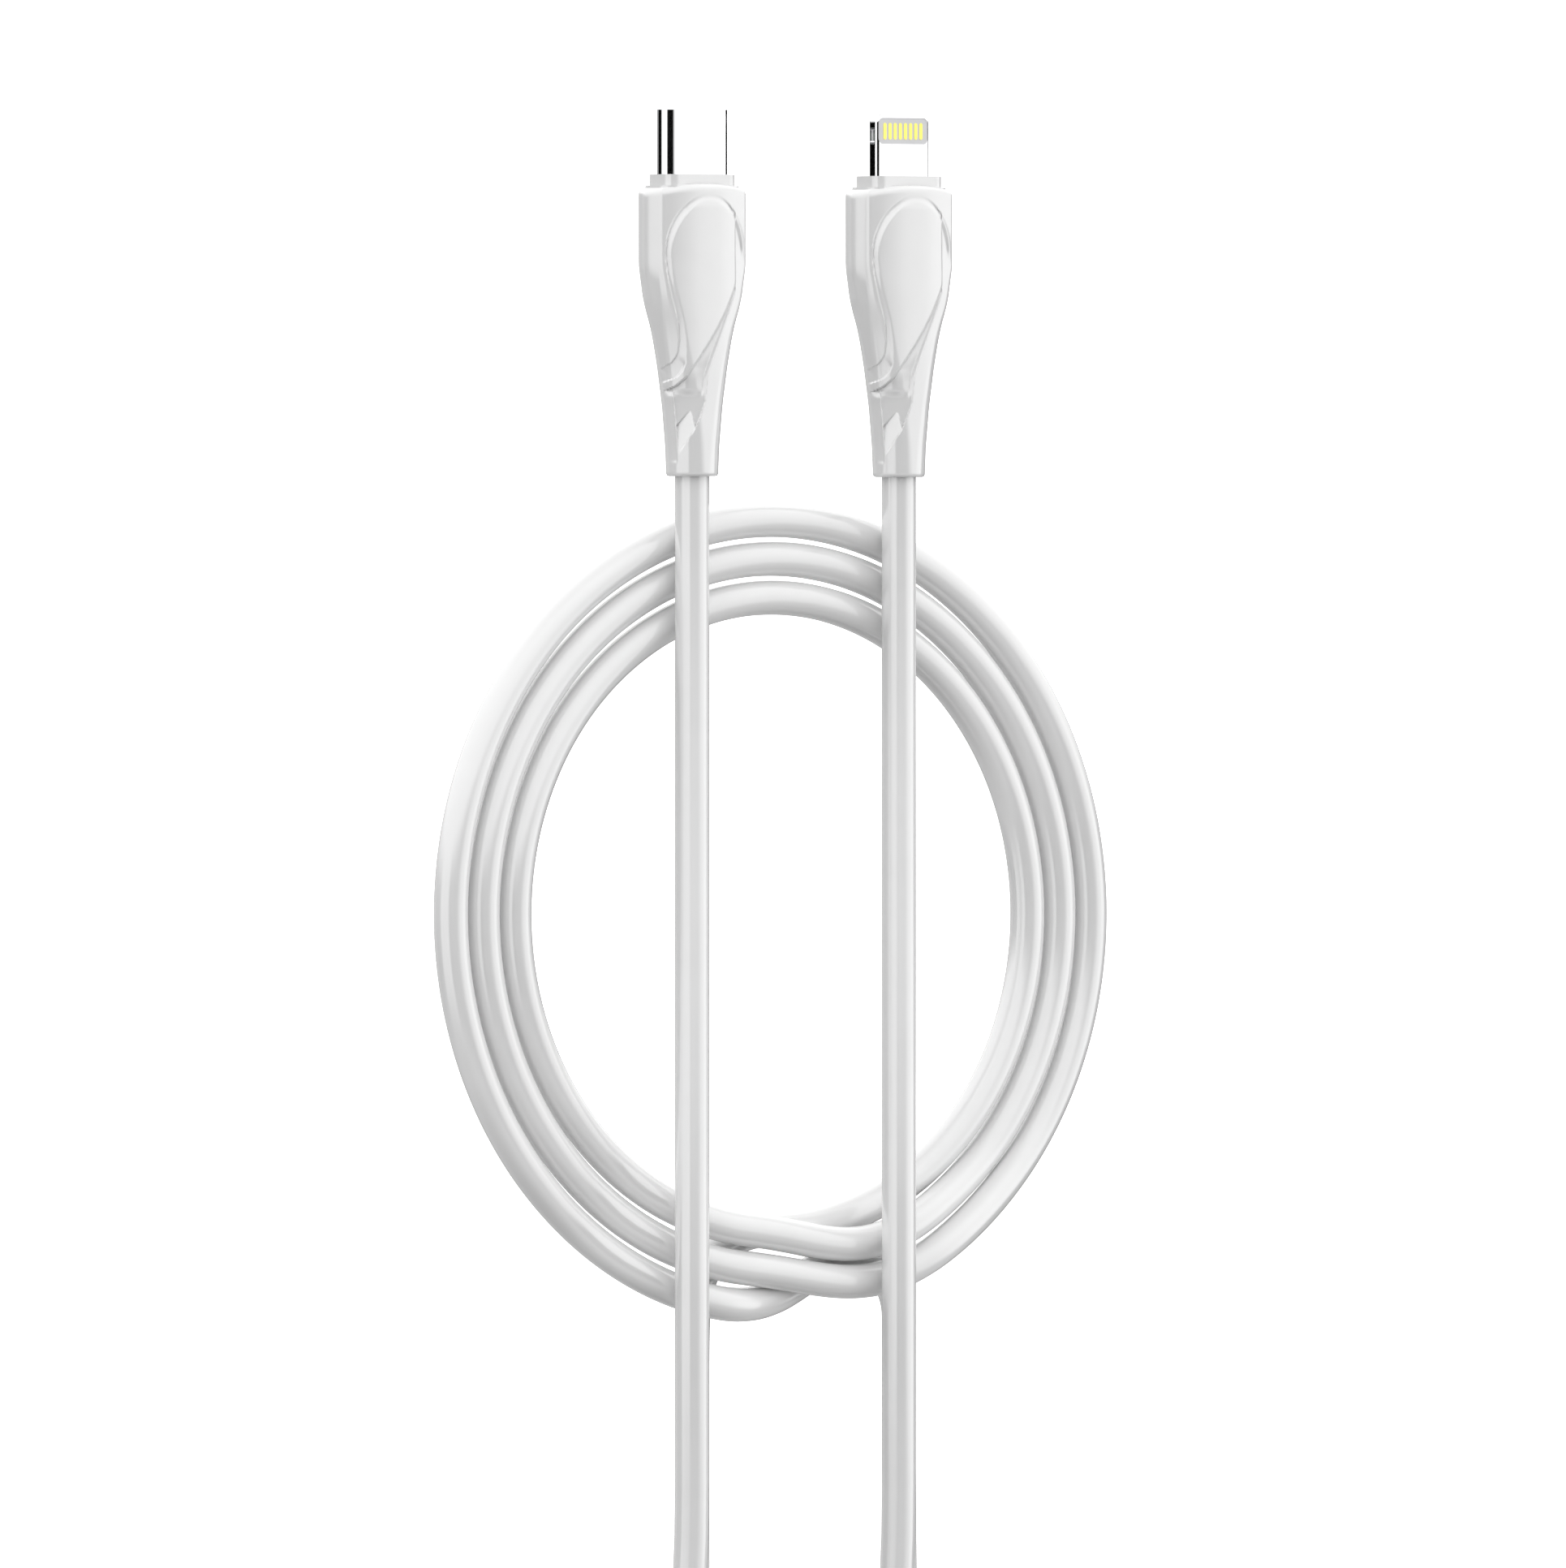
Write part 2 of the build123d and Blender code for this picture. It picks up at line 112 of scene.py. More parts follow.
# ---- materials -----------------------------------------------------------------------------------
# slot: colour, roughness, metallic, refractive index, then how many grains there are to the metre and their
# height in metres, and how far the colour and the roughness wander. The white plastics' index is above real
# plastic's, which makes their streaks as strong as the object's.
FINISHES = {
    "plated_steel": ((0.93, 0.93, 0.94), 0.07, 1.0, 1.5, 9000, 4e-8, 0.01, 0.04),
    "spring_steel": ((0.62, 0.61, 0.60), 0.28, 1.0, 1.5, 12000, 6e-7, 0.06, 0.10),
    "tinned_sheet": ((0.66, 0.66, 0.67), 0.34, 1.0, 1.5, 3000, 1e-6, 0.10, 0.12),
    "gold": ((1.0, 0.86, 0.20), 0.30, 1.0, 1.5, 9000, 3e-7, 0.03, 0.08),
    "insert_plastic": ((0.66, 0.66, 0.67), 0.45, 0.0, 1.5, 9000, 8e-7, 0.03, 0.10),
    "liner_plastic": ((0.02, 0.02, 0.022), 0.42, 0.0, 1.5, 9000, 1e-6, 0.2, 0.10),
    "board": ((0.02, 0.16, 0.06), 0.32, 0.0, 1.5, 2500, 2e-6, 0.25, 0.10),
    "chip": ((0.02, 0.02, 0.02), 0.55, 0.0, 1.5, 12000, 2e-6, 0.2, 0.10),
    "wire_red": ((0.55, 0.03, 0.03), 0.30, 0.0, 1.5, 3000, 2e-6, 0.1, 0.08),
    "wire_black": ((0.02, 0.02, 0.02), 0.30, 0.0, 1.5, 3000, 2e-6, 0.1, 0.08),
    "wire_green": ((0.03, 0.32, 0.07), 0.30, 0.0, 1.5, 3000, 2e-6, 0.1, 0.08),
    "wire_white": ((0.75, 0.75, 0.72), 0.30, 0.0, 1.5, 3000, 2e-6, 0.1, 0.08),
    "collar_plastic": ((0.75, 0.75, 0.75), 0.12, 0.0, 2.2, 9000, 2e-7, 0.01, 0.03),
    "grip_plastic": ((0.75, 0.75, 0.75), 0.10, 0.0, 2.2, 7000, 3e-7, 0.012, 0.03),
    "jacket": ((0.75, 0.75, 0.75), 0.12, 0.0, 2.2, 6000, 2e-7, 0.01, 0.03),
}
DRIFT_PER_METRE = 260
NOISE_LOW, NOISE_HIGH = 0.3, 0.7  # the range that a noise texture's values mostly keep to


def new_material(name, color, roughness, metallic, index, scale, height, shade, wander):
    """A surface with fine grain in its relief and its gloss, and slow drift in its colour."""
    material = bpy.data.materials.new(name)
    material.use_nodes = True
    nodes, links = material.node_tree.nodes, material.node_tree.links
    shader = nodes["Principled BSDF"]
    shader.inputs["Metallic"].default_value = metallic
    shader.inputs["IOR"].default_value = index
    place = nodes.new("ShaderNodeTexCoord")
    grain = nodes.new("ShaderNodeTexNoise")
    grain.inputs["Scale"].default_value = scale
    grain.inputs["Detail"].default_value = 3
    drift = nodes.new("ShaderNodeTexNoise")
    drift.inputs["Scale"].default_value = DRIFT_PER_METRE
    drift.inputs["Detail"].default_value = 2
    for noise in (grain, drift):
        links.new(place.outputs["Object"], noise.inputs["Vector"])
    tint = nodes.new("ShaderNodeValToRGB")
    for stop, level in zip(tint.color_ramp.elements, (1 - shade, 1 + shade)):
        stop.color = (*(min(1.0, channel * level) for channel in color), 1)
    tint.color_ramp.elements[0].position = NOISE_LOW
    tint.color_ramp.elements[1].position = NOISE_HIGH
    links.new(drift.outputs["Fac"], tint.inputs["Fac"])
    links.new(tint.outputs["Color"], shader.inputs["Base Color"])
    gloss = nodes.new("ShaderNodeMapRange")
    gloss.inputs["From Min"].default_value = NOISE_LOW
    gloss.inputs["From Max"].default_value = NOISE_HIGH
    gloss.inputs["To Min"].default_value = roughness
    gloss.inputs["To Max"].default_value = roughness + wander
    links.new(grain.outputs["Fac"], gloss.inputs["Value"])
    links.new(gloss.outputs["Result"], shader.inputs["Roughness"])
    relief = nodes.new("ShaderNodeBump")
    relief.inputs["Strength"].default_value = 1.0
    relief.inputs["Distance"].default_value = height
    links.new(grain.outputs["Fac"], relief.inputs["Height"])
    links.new(relief.outputs["Normal"], shader.inputs["Normal"])
    return material


materials = {name: new_material(name, *finish) for name, finish in FINISHES.items()}
for entry in frame["record"]["subparts"]:
    node = frame["nodes"][entry["node"]]
    node.data.materials.clear()
    node.data.materials.append(materials[entry["material_slot"]])


# ---- sculpted grips ------------------------------------------------------------------------------
# The plug's own directions, in mm: u runs across the wide face, z is up, and v runs from the cord end of
# the grip (0) to its front (29.5). The carving's lines are laid out on "lie", the direction across the plug
# that the camera sees square on, and it is cut in straight away from the camera. Turned half a turn it is the
# same on the other face.
LIE_LEAN = radians(35.8)  # the camera's own lean
GRIP_FRONT = 29.5

# The plain section along v: half its width and height, how far the crown's sides are below its middle, and
# the radius of its edges.
GRIP_HALF_WIDTH = (
    (0.0, 2.65), (3.1, 2.72), (7.2, 3.05), (11.3, 3.6), (15.5, 4.35), (17.1, 4.78), (18.8, 5.36),
    (20.6, 5.86), (21.4, 5.95), (29.5, 5.95),
)  # fmt: skip
GRIP_HALF_HEIGHT = ((0.0, 2.65), (7.2, 2.75), (14.9, 2.9), (19.3, 2.97), (29.5, 2.99))
CROWN_DROP = ((0.0, 0.0), (4.0, 0.1), (12.0, 0.5), (18.0, 0.78), (20.0, 0.95), (22.0, 1.1), (29.5, 1.1))
EDGE_RADIUS = ((0.0, 2.64), (4.0, 2.45), (9.0, 2.1), (14.0, 1.7), (18.0, 0.8), (21.5, 0.32), (29.5, 0.3))
SECTION_BLUR = 0.7
SIDE_RIDGE = 0.36  # slope of the two facets that meet in a soft ridge along each side
RIDGE_START, RIDGE_RUN = 16.4, 4.6  # along v, where the ridge grows
RIDGE_SOFTNESS = 0.3

# Lines of the carving, as (v, lie).
BODY_EDGE = (
    (9.6, -3.6), (11.0, -3.5), (11.2, -2.36), (11.7, -1.98), (12.3, -1.54), (13.9, -1.35), (15.5, -1.41),
    (17.1, -1.79), (18.0, -2.05), (20.7, -2.6), (22.8, -2.76), (26.0, -2.76),
)  # fmt: skip
TONGUE_LEFT = (
    (9.3, -3.4), (9.5, -3.0), (9.87, -1.58), (10.5, -0.97), (11.66, -0.47), (12.9, -0.28), (14.9, -0.54),
    (16.8, -0.94), (18.7, -1.41), (20.7, -1.81), (22.5, -2.05), (26.0, -2.1),
)  # fmt: skip
TONGUE_RIGHT = (
    (8.4, -3.6), (8.6, -3.2), (9.0, -1.98), (10.0, -0.72), (10.8, -0.21), (11.7, 0.42), (12.9, 1.2),
    (13.8, 1.75), (14.9, 2.38), (16.8, 3.33), (18.8, 4.12), (21.2, 4.75), (23.6, 4.86), (26.0, 4.86),
)  # fmt: skip
CHANNEL_RIGHT = (
    (2.3, -1.31), (4.93, 0.36), (5.85, 0.8), (7.4, 1.38), (9.0, 1.5), (10.3, 1.62), (11.7, 2.06),
    (13.8, 2.78), (17.2, 3.96), (20.0, 4.75), (22.5, 5.15), (26.0, 5.35),
)  # fmt: skip
STRIP_EDGE = ((1.4, -1.4), (2.2, -1.42), (8.86, -1.98), (9.5, -2.1))
DIAMOND_RIGHT = ((2.3, -1.31), (4.93, 0.36), (6.7, -0.21), (7.2, -0.4))
BODY_BLUR, TONGUE_BLUR, CHANNEL_BLUR = 0.35, 0.25, 0.3  # how far the lines' corners are rounded
CREASE = 0.1  # over how much of lie or v a sharp step is spread
TEARDROP = (22.5, 5.0, 6.0)  # its widest place along v, half its width, and its reach to the front
SHOULDER = 1.8  # along v, where the teardrop's walls change from the lines to the oval
OVAL_WALL = (0.72, 0.42)  # width of the oval's wall at its left and at its right
SIDES_FROM, SIDES_RUN = -1.2, 2.5  # the lie where one width starts to change to the other, and over how much
RIGHT_WALL = 0.2  # width of the tongue's wall on its right
TIP_WALL = 0.3  # width of its wall on the left, at its tip
TIP_END, TIP_RUN = 12.4, 1.2  # along v, where that narrow wall widens into the long slope on the left
LEAST_WALL, LEAST_FLOOR = 0.2, 0.1  # so that crossing lines leave some width
WALL_RISE = 0.18  # how far the teardrop stands above the plain section
STEP = 0.1  # width of the outline's step down into the groove
# How deep the groove round the teardrop is, as (v, mm): shallow over the corners of the hollow inside.
GROOVE_DEPTH = ((16.0, 0.19), (17.2, 0.08), (19.2, 0.08), (21.5, 0.19))
# The channel right of the tongue, as (v, mm): how wide its bright right wall is, and how deep the floor is
# at the foot of that wall and at the tongue.
FACET_WIDTH = ((8.5, 0.45), (11.0, 0.42), (13.0, 0.36), (15.0, 0.28), (18.0, 0.2), (21.0, 0.16))
FACET_DEPTH = ((8.5, 0.5), (11.0, 0.5), (13.0, 0.44), (15.0, 0.35), (18.0, 0.25), (21.0, 0.19))
WEDGE_DEPTH = ((8.5, 0.55), (10.0, 0.7), (11.0, 0.8), (13.0, 0.84), (15.5, 0.68), (18.0, 0.4), (20.5, 0.19))
MIDDLE_RUN = 0.4  # over how much of the lie one floor changes to the other, under the tongue's middle
# Cuts on the neck, as distances from the axis towards the camera's side.
NECK_FLAT = 2.3  # the flat floor of the channel
DIAMOND_LEVEL, DIAMOND_ACROSS, DIAMOND_ALONG = 3.17, 0.39, 0.12  # the diamond's plane, and its two slopes
DIAMOND_TOP = (5.3, 1.13, -1.45)  # its edge towards the grip: v at that lie, and how fast v grows with lie
SIDE_DEPTH = 0.08  # how far the side left of the channel is sunk
RIM, RIM_WALL = 0.2, 0.16  # the rim left standing between them, and how much of it is its wall
SIDE_START, SIDE_RUN = 1.2, 0.5  # along v, where that side starts to sink
NECK_TOP, NECK_RUN = 7.9, 1.1  # along v, where the neck's cuts give way to the tongue's
# The carving fades out towards the outline, over this much lie and this much more on the neck, and ends
# short of the cord's end.
EDGE_FADE, NECK_FADE = 0.3, 0.8
FADE_FROM, FADE_RUN = 10, 1.5  # along v, where the neck's wider fade ends
CARVING_FROM, CARVING_RUN = 0.9, 0.7  # along v

# Rows of the mesh. The first ones round the cord's end, as (v, drawn in, the front's share). Then they are
# evenly spaced, and turn into the plain bevelled front from PLAIN_FROM on.
REAR_ROWS = ((0.0, 0.3, 0.0), (0.06, 0.12, 0.0), (0.2, 0.03, 0.0), (0.36, 0.0, 0.0))
ROW_SPACING = 0.115
PLAIN_FROM, PLAIN_RUN = 27.2, 1.4
FRONT_BEVEL = 0.62
BOW_MIDDLE, BOW_DROP, BOW_HALF_WIDTH, BOW_POWER = 0.2, 0.6, 5.75, 2.4
SHARP_ANGLE = radians(40)
COLUMNS = 300
REACH_LIMIT = 9.0  # further from the axis than any section
HALVINGS = 26
# The hollow inside, from the front back to the cord: v, and width, height and corner radius.
HOLLOW = (
    (29.28, 9.75, 4.65, 1.45),
    (17.7, 9.75, 4.65, 1.45),
    (17.7, 4.1, 4.1, 2.05),
    (14.9, 4.1, 4.1, 2.05),
    (14.9, 3.5, 3.5, 1.75),
    (0.02, 3.5, 3.5, 1.75),
)


def ease(t):
    """0 up to 0, 1 from 1 on, and a smooth rise between them."""
    t = np.clip(t, 0.0, 1.0)
    return t * t * (3 - 2 * t)


def along(line, value, blur=0.0):
    """A line's value, its corners rounded over blur either way."""
    places, values = zip(*line)
    shifts = np.linspace(-blur, blur, 7) if blur else (0.0,)
    return sum(np.interp(value + shift, places, values) for shift in shifts) / len(shifts)


def section_level(u, z, v):
    """How far a point is outside the grip's plain section at v; negative inside."""
    half, height = along(GRIP_HALF_WIDTH, v, SECTION_BLUR), along(GRIP_HALF_HEIGHT, v, SECTION_BLUR)
    drop, radius = along(CROWN_DROP, v, SECTION_BLUR), along(EDGE_RADIUS, v, SECTION_BLUR)
    wide = ease((v - RIDGE_START) / RIDGE_RUN)
    ridge = SIDE_RIDGE * wide * (np.sqrt(z**2 + RIDGE_SOFTNESS**2) - RIDGE_SOFTNESS)
    side = np.abs(u) - half + ridge
    top = np.abs(z) - height + drop * (u / half) ** 2
    inner = np.minimum(np.maximum(side, top) + radius, 0)
    return inner + np.hypot(np.maximum(side + radius, 0), np.maximum(top + radius, 0)) - radius


def edge_reach(angle, outside):
    """Distance from the axis, towards angle (0 is up), to where outside(u, z) becomes true."""
    low, high = np.zeros_like(angle), np.full_like(angle, REACH_LIMIT)
    for _ in range(HALVINGS):
        middle = (low + high) / 2
        beyond = outside(middle * np.sin(angle), middle * np.cos(angle))
        high = np.where(beyond, middle, high)
        low = np.where(beyond, low, middle)
    return (low + high) / 2


def section_reach(angle, v, inset):
    """Distance from the axis to the plain section drawn in by inset."""
    return edge_reach(angle, lambda u, z: section_level(u, z, v) > -inset)


def rounded_reach(angle, width, height, corner):
    """Distance from the axis to a rounded rectangle."""

    def outside(u, z):
        a, b = np.abs(u) - width / 2 + corner, np.abs(z) - height / 2 + corner
        return np.minimum(np.maximum(a, b), 0) + np.hypot(np.maximum(a, 0), np.maximum(b, 0)) > corner

    return edge_reach(angle, outside)


def tongue_carving(u, v, lie, channel):
    """The teardrop with its tongue, the groove round it and the channel on its right."""
    widest, half, reach = TEARDROP
    body, left = along(BODY_EDGE, v, BODY_BLUR), along(TONGUE_LEFT, v, TONGUE_BLUR)
    right = along(TONGUE_RIGHT, v, TONGUE_BLUR)
    # Below the teardrop's widest place its walls follow the lines, and above it they follow an oval.
    oval = (1 - np.hypot(u / half, (v - widest) / reach)) * half
    upper = ease((v - widest + SHOULDER / 2) / SHOULDER)
    tip = np.maximum(left - TIP_WALL - body - STEP, 0) * ease((TIP_END - v) / TIP_RUN)
    start = body + STEP + tip
    left_wall = ease((lie - start) / np.maximum(left - start, LEAST_WALL))
    right_wall = 1 - ease((lie - right) / RIGHT_WALL)
    side = ease((lie - SIDES_FROM) / SIDES_RUN)
    oval_wall = ease((oval - STEP) / ((1 - side) * OVAL_WALL[0] + side * OVAL_WALL[1]))
    wall = (1 - upper) * left_wall * right_wall + upper * oval_wall
    # The groove on the left, and on the right a floor that rises from the tongue to the bright wall.
    facet = along(FACET_WIDTH, v)
    share = np.clip((lie - right) / np.maximum(channel - facet - right, LEAST_FLOOR), 0, 1)
    rising = along(WEDGE_DEPTH, v) * (1 - share) + along(FACET_DEPTH, v) * share
    rising = rising * np.clip((channel - lie) / facet, 0, 1)
    middle = ease((lie - (left + right) / 2) / MIDDLE_RUN + 0.5)
    groove = along(GROOVE_DEPTH, v)
    lower = (groove * (1 - middle) + rising * middle) * ease((lie - body) / STEP)
    deep = (1 - upper) * lower + upper * groove * ease(oval / STEP)
    return wall * (WALL_RISE + deep) - deep


def neck_carving(u, z, v, lie, channel):
    """Under the tongue the channel runs on down the neck as a flat cut, which ends in a bright diamond."""
    near = z * cos(LIE_LEAN) - u * sin(LIE_LEAN)
    strip = along(STRIP_EDGE, v)
    flat = np.minimum(NECK_FLAT - near, 0) * (1 - ease((lie - channel + CREASE) / CREASE))
    diamond = np.minimum(DIAMOND_LEVEL + DIAMOND_ACROSS * lie - DIAMOND_ALONG * v - near, 0)
    top, slope, place = DIAMOND_TOP
    above = ease((v - top - slope * (lie - place)) / CREASE + 0.5)
    beside = ease((lie - along(DIAMOND_RIGHT, v)) / CREASE + 0.5)
    flat_share = np.maximum(above, beside)
    cuts = (flat * flat_share + diamond * (1 - flat_share)) * ease((lie - strip) / CREASE)
    past_rim = 1 - ease((lie - strip + RIM) / RIM_WALL)
    return cuts - SIDE_DEPTH * past_rim * ease((v - SIDE_START) / SIDE_RUN)


def carving(u, z, v, lie, edge):
    """How far the carved surface stands out of the plain section; edge is the lie of its outline."""
    channel = along(CHANNEL_RIGHT, v, CHANNEL_BLUR)
    below = 1 - ease((v - NECK_TOP) / NECK_RUN)
    carved = (1 - below) * tongue_carving(u, v, lie, channel) + below * neck_carving(u, z, v, lie, channel)
    fade = EDGE_FADE + NECK_FADE * (1 - ease((v - FADE_FROM) / FADE_RUN))
    return carved * ease((edge - np.abs(lie)) / fade) * ease((v - CARVING_FROM) / CARVING_RUN)


def grip_rows():
    """Rows of the outer surface: place along v, how far the section is drawn in, and the front's share."""
    rows = list(REAR_ROWS)
    rows += [(v, 0.0, ease((v - PLAIN_FROM) / PLAIN_RUN)) for v in np.arange(0.5, 28.74, ROW_SPACING)]
    for turn in np.linspace(0, pi / 2, 9)[1:]:
        place = GRIP_FRONT - FRONT_BEVEL + FRONT_BEVEL * sin(turn)
        rows.append((place, FRONT_BEVEL * (1 - cos(turn)), 1.0))
    return rows


def grip_angles():
    """Directions round the axis, spaced by a mix of the wide section's outline and the angle."""
    fine = np.linspace(0, 2 * pi, 4001)
    wide_place, angle_weight = 25.0, 2.4
    reach = section_reach(fine, np.full_like(fine, wide_place), 0.0)
    wide = np.stack([reach * np.sin(fine), reach * np.cos(fine)])
    steps = np.hypot(*np.diff(wide, axis=1)) + angle_weight * np.diff(fine)
    run = np.concatenate([[0], np.cumsum(steps)])
    return np.interp(np.linspace(0, run[-1], COLUMNS + 1)[:-1], run, fine)


def grip_points():
    """The grip's rings, from the cord's end over the outside to the front and back through the hollow."""
    angles = grip_angles()
    v, inset, front = (np.array(column)[:, None] + 0 * angles for column in zip(*grip_rows()))
    angle = angles + 0 * v
    reach = section_reach(angle, v, inset)
    u, z = reach * np.sin(angle), reach * np.cos(angle)
    facing = np.where(z * cos(LIE_LEAN) - u * sin(LIE_LEAN) > 0, 1, -1)
    lie = u * cos(LIE_LEAN) + z * sin(LIE_LEAN)
    edge = np.abs(lie).max(axis=1)[:, None]
    lift = carving(u * facing, z * facing, v, lie * facing, edge) * (1 - front)
    u, z = u - lift * facing * sin(LIE_LEAN), z + lift * facing * cos(LIE_LEAN)
    # The front is bowed: its middle stands ahead of its corners.
    v = v + front * (BOW_MIDDLE - BOW_DROP * np.abs(u / BOW_HALF_WIDTH) ** BOW_POWER)
    points = [np.stack([u, v, z], axis=2)]
    for depth, width, height, corner in HOLLOW:
        reach = rounded_reach(angles, width, height, corner)
        ring = np.stack([reach * np.sin(angles), np.full_like(angles, depth), reach * np.cos(angles)], axis=1)
        points.append(ring[None])
    return np.concatenate(points)


def add_grip(name, exit_point):
    points = grip_points()
    places = points.reshape(-1, 3) * MM
    places += (Vector((COIL_CENTRE[0], COIL_CENTRE[1], 0)) + Vector(exit_point)) * MM
    row = np.arange(len(points))[:, None] * COLUMNS
    column = np.arange(COLUMNS)[None, :]
    after = (column + 1) % COLUMNS
    next_row = np.roll(row, -1, axis=0)
    faces = np.stack([row + column, row + after, next_row + after, next_row + column], axis=2).reshape(-1, 4)
    mesh = bpy.data.meshes.new(name)
    mesh.from_pydata(places.tolist(), [], faces.tolist())
    mesh.polygons.foreach_set("use_smooth", [True] * len(mesh.polygons))
    mesh.materials.append(materials["grip_plastic"])
    mesh.validate()
    mesh.set_sharp_from_angle(angle=SHARP_ANGLE)
    grip = bpy.data.objects.new(name, mesh)
    bpy.context.scene.collection.objects.link(grip)
    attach(grip, "cable")
    return grip


for prefix, run in (("oval", OVAL_RUN), ("tab", TAB_RUN)):
    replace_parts(add_grip(f"{prefix}_grip_sculpted", run[0]), f"{prefix}_grip")


# ---- cord ----------------------------------------------------------------------------------------
SEAM = (-3.6, 18.0)  # across, between these each turn moves out to the next
STEPS_PER_TURN = 96
PITCH = TURN_RADII[1] - TURN_RADII[0]
DEEP = 3.51  # a cord that crosses over another rides this much higher
# Where the turns ride over a tail, from the inner one out: across, where each starts to lift, is up, starts
# down and is down.
RIDES_OVER = ((-24, -11, 15, 28), (-24, -11, 18, 31), (-24, -11, -7.4, 4.6))
# A raised cord also moves this share of its lift to -X: the tangent of the camera's lean, so that the coil
# keeps a round outline in the picture.
LEAN_SHIFT = 0.721
# The coil's own points are those between the two tails, as steps from the bottom of the innermost turn.
FIRST_STEP, LAST_STEP = 2, 3 * STEPS_PER_TURN - 3


def smooth(low, high, value):
    """0 below low, 1 above high, and a smooth rise between them."""
    return ease((value - low) / (high - low))


def ramp(low, high, value, bend=0.4):
    """Like smooth, but straight in the middle and rounded over a share of its length at either end."""
    t = min(1.0, max(0.0, (value - low) / (high - low)))
    if t > 0.5:
        return 1 - ramp(low, high, low + high - value, bend)
    if t < bend:
        return t * t / (2 * bend * (1 - bend))
    return (t - bend / 2) / (1 - bend)


def hump(start, top, end, low, value):
    """How far a cord is lifted: 0 at start, 1 from top to end, and 0 again at low."""
    return smooth(start, top, value) * (1 - smooth(end, low, value))


def turn_point(step):
    """A point of the coil, counted from the bottom of its innermost turn. It rides over the tails and moves
    out a turn where it passes the bottom."""
    angle = 2 * pi * step / STEPS_PER_TURN
    crossing = round(step / STEPS_PER_TURN)
    across = sin(angle) * TURN_RADII[1]
    turns = step // STEPS_PER_TURN
    lift = 0
    if cos(angle) > 0:
        turns = max(0, crossing - 1)
        if crossing in (1, 2):
            turns += ramp(*SEAM, across)
        if crossing > 0:
            lift = DEEP * hump(*RIDES_OVER[crossing - 1], across)
    radius = (TURN_RADII[0] + PITCH * turns) / cos(pi / STEPS_PER_TURN)
    return radius * sin(angle) - LEAN_SHIFT * lift, -radius * cos(angle), CORD_LEVEL + lift


# Where the cord comes to the outermost turn and where it leaves the innermost one, under the other turns. The
# outer tail is listed with its lift: it climbs from the surface to the height of the turn's end.
OUTER_TAIL = (
    (15.97, -46.0, 0),
    (15.97, -42.7, 0),
    (15.97, -39.4, 0),
    (14.3, -36.55, 0),
    (11.4, -34.9, 0),
    (8.1, -35.0, 0),
    (5.3, -36.4, 0.0),
    (2.7, -37.9, 0.2),
    (0.2, -39.1, 0.95),
    (-2.4, -39.7, 2.2),
    (-5.1, -39.75, 3.25),
)
INNER_TAIL = ((0.2, -32.15), (-3.2, -32.4), (-6.2, -33.7), (-8.6, -36.0), (-9.8, -39.2), (-9.97, -43.0))


def cord_points():
    """The whole cord from the oval plug's grip to the flat plug's, in millimetres from the coil's centre."""
    points = list(OVAL_RUN[:-1])
    points += [(x - LEAN_SHIFT * lift, y, CORD_LEVEL + lift) for x, y, lift in OUTER_TAIL]
    points += [turn_point(step) for step in range(LAST_STEP, FIRST_STEP - 1, -1)]
    points += [(x, y, CORD_LEVEL) for x, y in INNER_TAIL]
    points += reversed(TAB_RUN[:-1])
    return points


def add_cord():
    points = [
        ((COIL_CENTRE[0] + x) * MM, (COIL_CENTRE[1] + y) * MM, z * MM, 1) for x, y, z in cord_points()
    ]
    curve = bpy.data.curves.new("cord", "CURVE")
    curve.dimensions = "3D"
    spline = curve.splines.new("NURBS")
    spline.points.add(len(points) - 1)
    for place, point in zip(spline.points, points):
        place.co = point
    spline.order_u = 3
    spline.use_endpoint_u = True
    spline.resolution_u = 5
    curve.bevel_depth = CORD_RADIUS
    curve.bevel_resolution = 12
    curve.materials.append(materials["jacket"])
    cord = bpy.data.objects.new("cord", curve)
    bpy.context.scene.collection.objects.link(cord)
    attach(cord, "cable")
    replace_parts(cord, "cord_run_oval", "cord_run_tab", "cord_coil")
    return cord


add_cord()


# ---- studio --------------------------------------------------------------------------------------
def add_floor():
    """A plain white floor that only the camera sees: it neither mirrors in the cable nor lights it."""
    side = 3.0
    corners = [(-side, -side, 0), (side, -side, 0), (side, side, 0), (-side, side, 0)]
    mesh = bpy.data.meshes.new("floor")
    mesh.from_pydata(corners, [], [(0, 1, 2, 3)])
    floor = bpy.data.objects.new("floor", mesh)
    bpy.context.scene.collection.objects.link(floor)
    material = bpy.data.materials.new("floor")
    material.use_nodes = True
    shader = material.node_tree.nodes["Principled BSDF"]
    shader.inputs["Base Color"].default_value = (0.9, 0.9, 0.9, 1)
    shader.inputs["Emission Color"].default_value = (1, 1, 1, 1)
    shader.inputs["Emission Strength"].default_value = 1.0
    mesh.materials.append(material)
    floor.visible_glossy = False
    floor.visible_diffuse = False
    floor.visible_shadow = False


add_floor()

# Brightness of the room by the direction a ray leaves in: bands round the Y axis, from straight up (0)
# towards +X (positive degrees), as tall softboxes beside a table give.
BANDS = (
    (-180, 0.5),
    (-160, 0.5),
    (-154, 0.0),
    (-112, 0.0),
    (-107, 1.6),
    (-53, 1.6),
    (-48, 0.0),
    (5, 0.0),
    (28, 1.7),
    (44, 1.9),
    (54, 2.4),
    (72, 2.4),
    (79, 1.5),
    (84, 0.0),
    (134, 0.0),
    (141, 0.5),
    (180, 0.5),
)
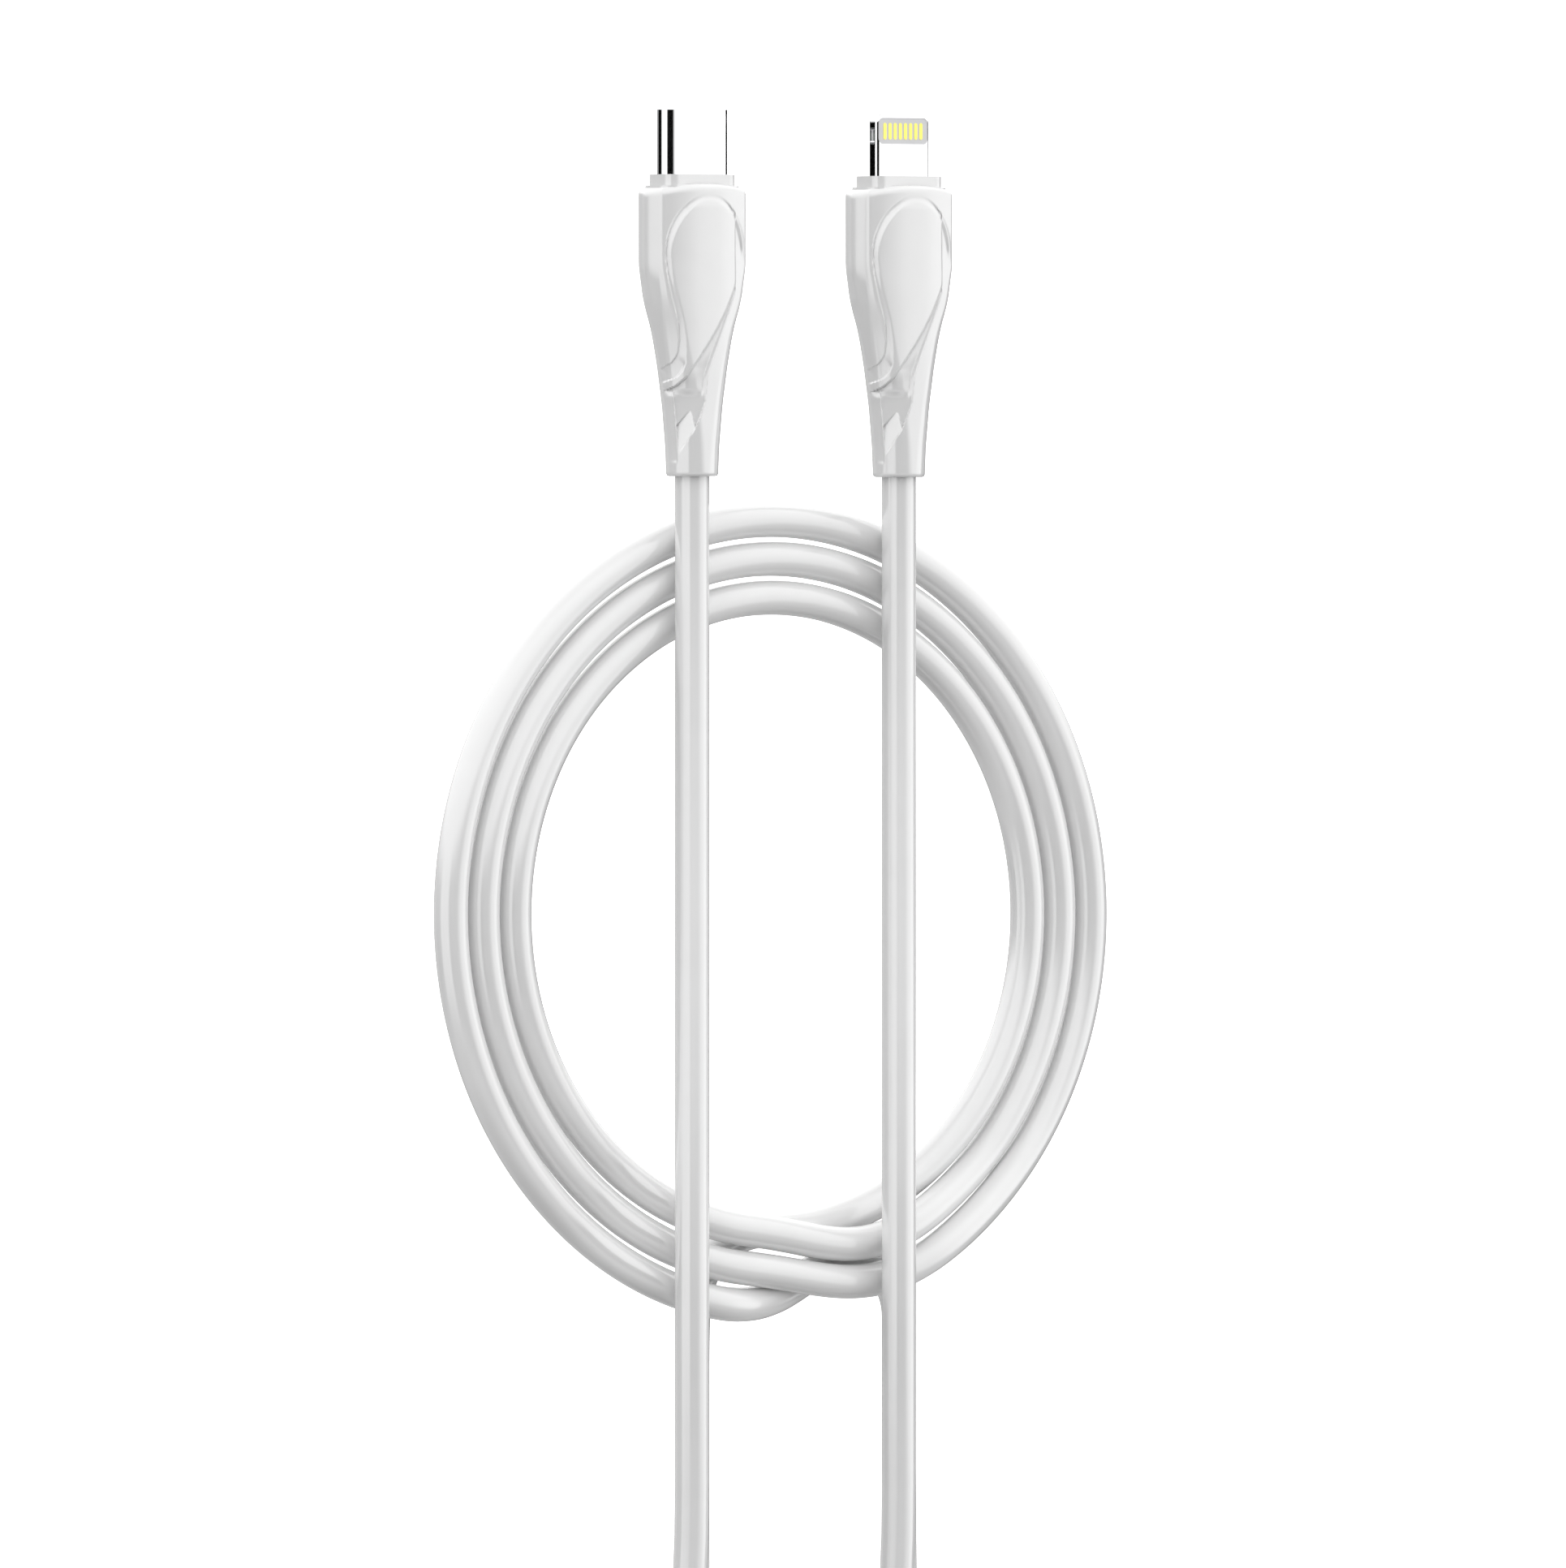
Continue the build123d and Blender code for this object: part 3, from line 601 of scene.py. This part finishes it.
# Brightness towards +Y and -Y: from and to how much of the direction is along Y, and the level reached.
FACING = ((0.08, 0.25, 2.0), (0.8, 1.0, 1.2), (-0.2, -0.45, 0.8), (-0.6, -0.95, 0.3))
FULL_LEVEL = 4  # above every level, because a colour ramp's stops go up to 1
ROOM_STRENGTH = 3.07
MIX_A, MIX_B, MIX_RESULT = 6, 7, 2  # a colour mix's sockets


def grey(level):
    return (level / FULL_LEVEL, level / FULL_LEVEL, level / FULL_LEVEL, 1)


def add_room():
    """Light from the bands all round; the camera itself sees plain white."""
    world = bpy.data.worlds.new("room")
    bpy.context.scene.world = world
    world.use_nodes = True
    nodes, links = world.node_tree.nodes, world.node_tree.links
    nodes.clear()
    place = nodes.new("ShaderNodeTexCoord")
    split = nodes.new("ShaderNodeSeparateXYZ")
    links.new(place.outputs["Generated"], split.inputs[0])
    angle = nodes.new("ShaderNodeMath")
    angle.operation = "ARCTAN2"
    links.new(split.outputs["X"], angle.inputs[0])
    links.new(split.outputs["Z"], angle.inputs[1])
    share = nodes.new("ShaderNodeMapRange")
    share.inputs["From Min"].default_value = -pi
    share.inputs["From Max"].default_value = pi
    links.new(angle.outputs[0], share.inputs["Value"])
    bands = nodes.new("ShaderNodeValToRGB")
    stops = bands.color_ramp.elements
    while len(stops) > 1:
        stops.remove(stops[-1])
    for i, (degrees, level) in enumerate(BANDS):
        stop = stops[0] if i == 0 else stops.new((degrees + 180) / 360)
        stop.position = (degrees + 180) / 360
        stop.color = grey(level)
    links.new(share.outputs["Result"], bands.inputs["Fac"])
    color = bands.outputs["Color"]
    for start, end, level in FACING:
        reach = nodes.new("ShaderNodeMapRange")
        reach.inputs["From Min"].default_value = start
        reach.inputs["From Max"].default_value = end
        links.new(split.outputs["Y"], reach.inputs["Value"])
        mix = nodes.new("ShaderNodeMix")
        mix.data_type = "RGBA"
        links.new(reach.outputs["Result"], mix.inputs["Factor"])
        links.new(color, mix.inputs[MIX_A])
        mix.inputs[MIX_B].default_value = grey(level)
        color = mix.outputs[MIX_RESULT]
    light = nodes.new("ShaderNodeBackground")
    light.inputs["Strength"].default_value = ROOM_STRENGTH
    links.new(color, light.inputs["Color"])
    seen = nodes.new("ShaderNodeBackground")
    seen.inputs["Color"].default_value = (1, 1, 1, 1)
    path = nodes.new("ShaderNodeLightPath")
    choose = nodes.new("ShaderNodeMixShader")
    links.new(path.outputs["Is Camera Ray"], choose.inputs["Fac"])
    links.new(light.outputs[0], choose.inputs[1])
    links.new(seen.outputs[0], choose.inputs[2])
    out = nodes.new("ShaderNodeOutputWorld")
    links.new(choose.outputs[0], out.inputs["Surface"])


add_room()
bpy.context.scene.view_settings.view_transform = "Standard"
